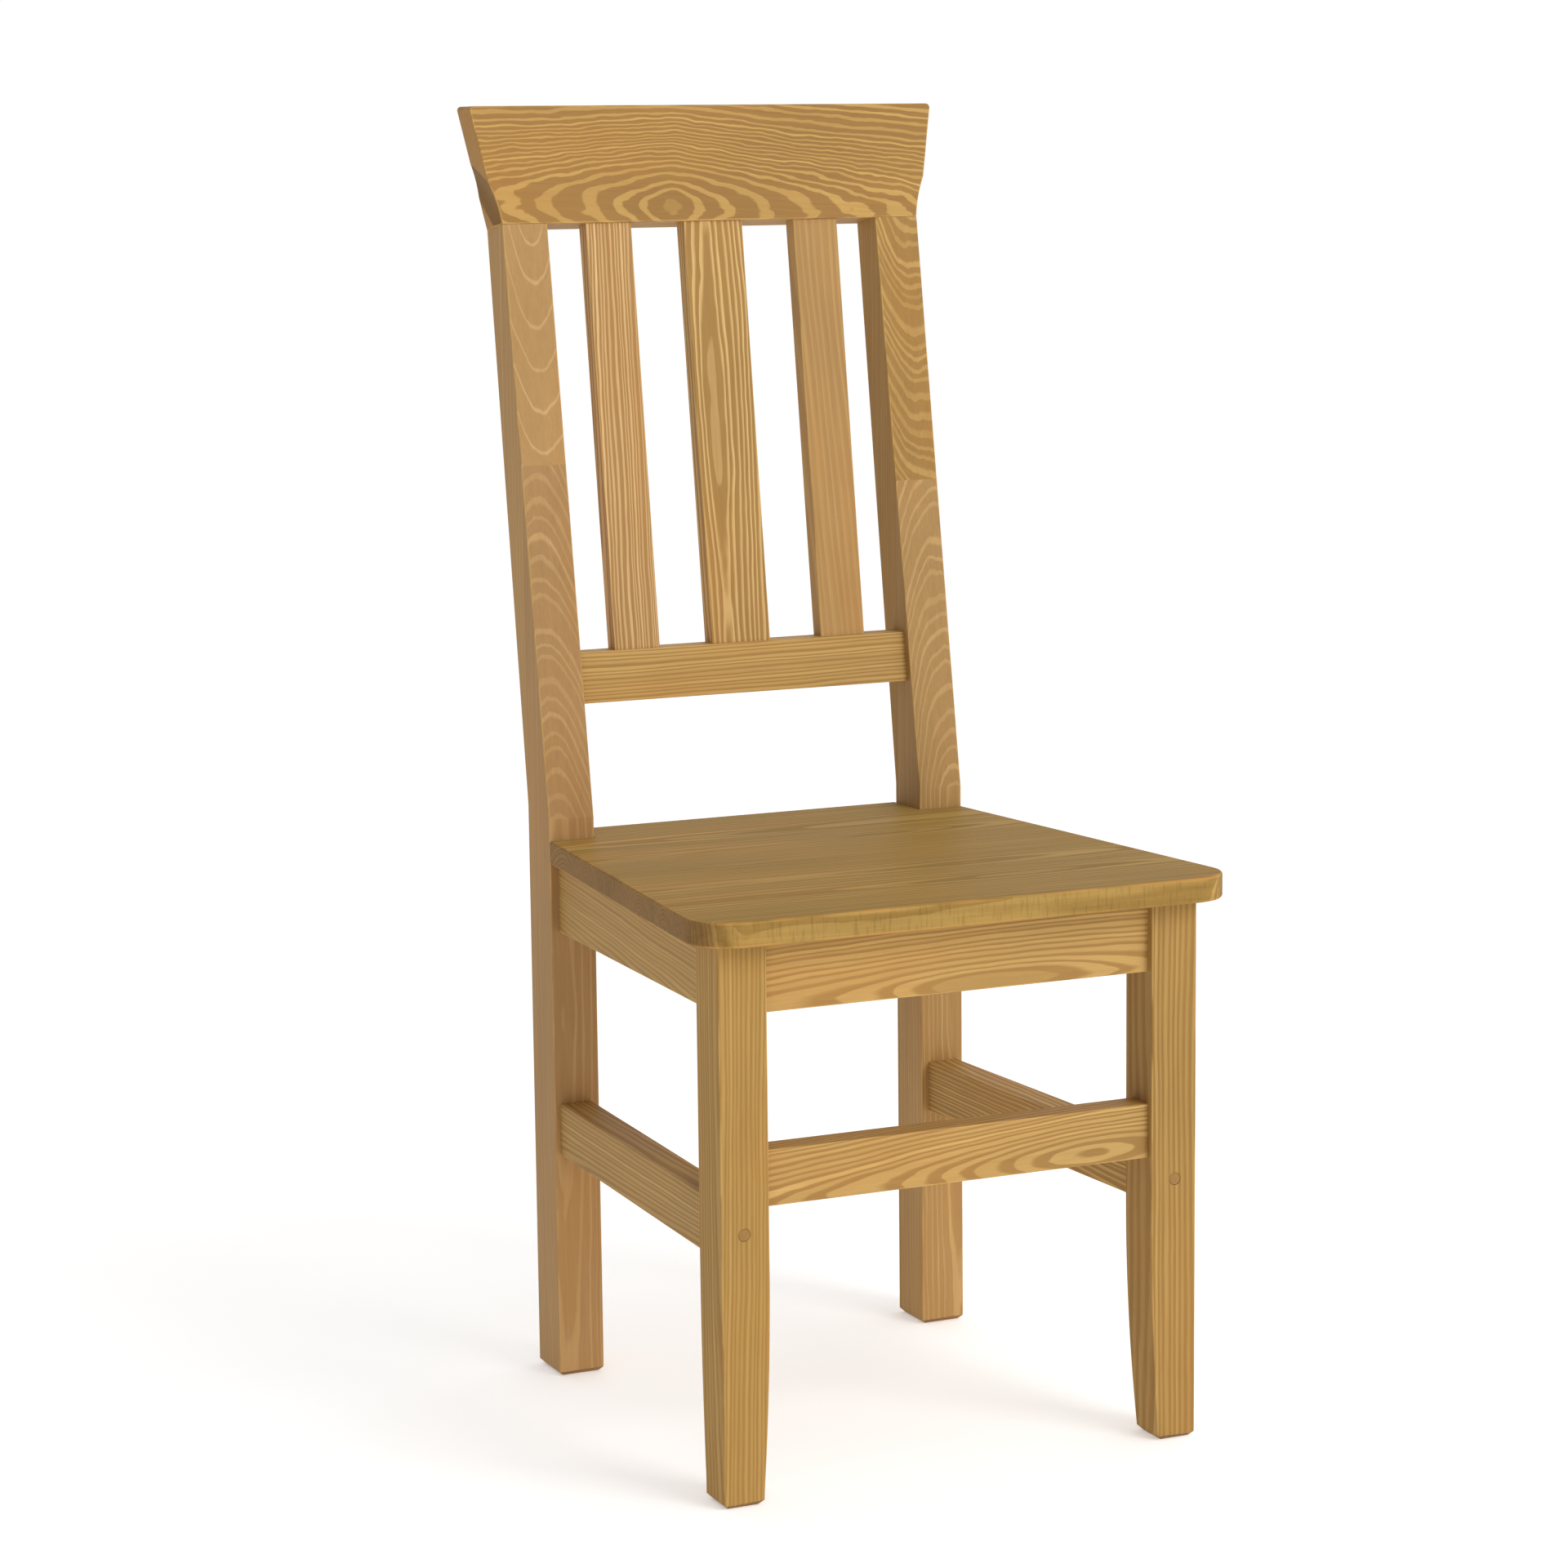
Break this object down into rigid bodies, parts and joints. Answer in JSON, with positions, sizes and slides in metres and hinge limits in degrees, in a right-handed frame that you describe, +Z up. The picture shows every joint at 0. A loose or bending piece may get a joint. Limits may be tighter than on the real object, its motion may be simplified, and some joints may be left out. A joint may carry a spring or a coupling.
{
  "type": "dining chair",
  "caption": "Solid pine dining chair with tapered front legs, raked back posts, upright slats, a flared crest rail, a flat wooden seat and stretchers near the floor.",
  "frame": {"origin": "on the floor, under the middle of the chair's overall width and depth", "axes": "+X to the chair's right as seen from in front, +Y from the front edge of the seat towards the back, +Z up"},
  "size_m": [0.4566, 0.5342, 1.062],
  "materials": {
    "leg_pine": "honey brown wax, satin",
    "rail_pine": "honey brown wax, satin",
    "back_pine": "honey brown wax, satin",
    "seat_pine": "honey brown wax, satin, slightly dulled by use",
    "block_pine": "sawn and waxed",
    "plug_pine": "waxed end grain",
    "dowel_beech": "plain, unfinished",
    "screw_steel": "zinc plated"
  },
  "bodies": {
    "root": {"front_leg_left": "leg_pine", "front_leg_right": "leg_pine", "rear_leg_left": "leg_pine", "rear_leg_right": "leg_pine", "rear_post_left": "leg_pine", "rear_post_right": "leg_pine", "front_apron": "rail_pine", "rear_apron": "rail_pine", "left_apron": "rail_pine", "right_apron": "rail_pine", "front_stretcher": "rail_pine", "left_stretcher": "rail_pine", "right_stretcher": "rail_pine", "lower_back_rail": "back_pine", "crest_rail": "back_pine", "back_slat_left": "back_pine", "back_slat_middle": "back_pine", "back_slat_right": "back_pine", "seat_board_front": "seat_pine", "seat_board_second": "seat_pine", "seat_board_third": "seat_pine", "seat_board_rear": "seat_pine", "corner_block_front_left": "block_pine", "corner_block_front_right": "block_pine", "corner_block_rear_left": "block_pine", "corner_block_rear_right": "block_pine", "leg_plug_left": "plug_pine", "leg_plug_right": "plug_pine", "apron_dowels": "dowel_beech", "stretcher_dowels": "dowel_beech", "back_rail_dowels": "dowel_beech", "crest_dowels": "dowel_beech", "stretcher_screws": "screw_steel", "block_screws": "screw_steel", "seat_screws": "screw_steel"}
  },
  "joints": []
}
